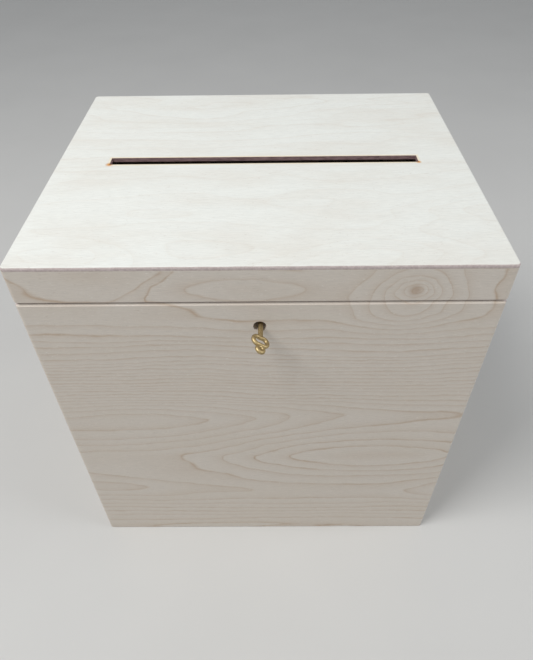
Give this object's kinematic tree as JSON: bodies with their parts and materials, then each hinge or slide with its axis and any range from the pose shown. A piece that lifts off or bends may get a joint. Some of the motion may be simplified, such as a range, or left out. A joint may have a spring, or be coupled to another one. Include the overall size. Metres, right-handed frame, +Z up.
{
  "type": "donation box",
  "caption": "Lidded plywood donation box with a long slot in its lid, butt hinges at the back and a key-operated box lock behind the front keyhole.",
  "frame": {"origin": "centre of the base's underside, which is also the centre of the box's outline seen from above", "axes": "+X to the right seen from the front, +Y from the front to the back, +Z up"},
  "size_m": [0.3, 0.2814, 0.3148],
  "materials": {
    "plywood": "unfinished sanded plywood",
    "thin_plywood": "unfinished sanded thin plywood",
    "hinge_brass": "lightly worn",
    "lock_steel": "satin",
    "key_brass": "dull antique"
  },
  "bodies": {
    "box": {"base_panel": "thin_plywood", "front_panel": "plywood", "back_panel": "plywood", "left_side_panel": "plywood", "right_side_panel": "plywood", "left_hinge_box_leaf": "hinge_brass", "right_hinge_box_leaf": "hinge_brass", "left_hinge_pin": "hinge_brass", "right_hinge_pin": "hinge_brass", "hinge_box_screws": "hinge_brass", "lock_case": "lock_steel", "lock_cap": "lock_steel", "lock_rivets": "lock_steel", "lock_screws": "hinge_brass", "lock_bolt_spring": "lock_steel"},
    "lid": {"lid_top_panel": "thin_plywood", "lid_front_rail": "plywood", "lid_back_rail": "plywood", "lid_left_rail": "plywood", "lid_right_rail": "plywood", "left_hinge_lid_leaf": "hinge_brass", "right_hinge_lid_leaf": "hinge_brass", "hinge_lid_screws": "hinge_brass", "lid_strike": "lock_steel", "strike_screws": "hinge_brass"},
    "key": {"key": "key_brass"},
    "bolt": {"lock_bolt": "lock_steel"}
  },
  "joints": [
    {"name": "lid_hinge", "type": "hinge", "parent": "box", "child": "lid", "pos_m": [0, 0.129, 0.2872], "axis": [-1, 0, 0], "range_deg": [0, 180]},
    {"name": "key_turn", "type": "hinge", "parent": "box", "child": "key", "pos_m": [0, -0.1175, 0.2676], "axis": [0, 1, 0], "range_deg": [0, 112.2]},
    {"name": "bolt_slide", "type": "slide", "parent": "box", "child": "bolt", "axis": [1, 0, 0], "range_m": [0, 0.0063]}
  ],
  "couplings": [
    {"joint": "key_turn", "follows": "bolt_slide", "rad_per_m": 310.28}
  ]
}
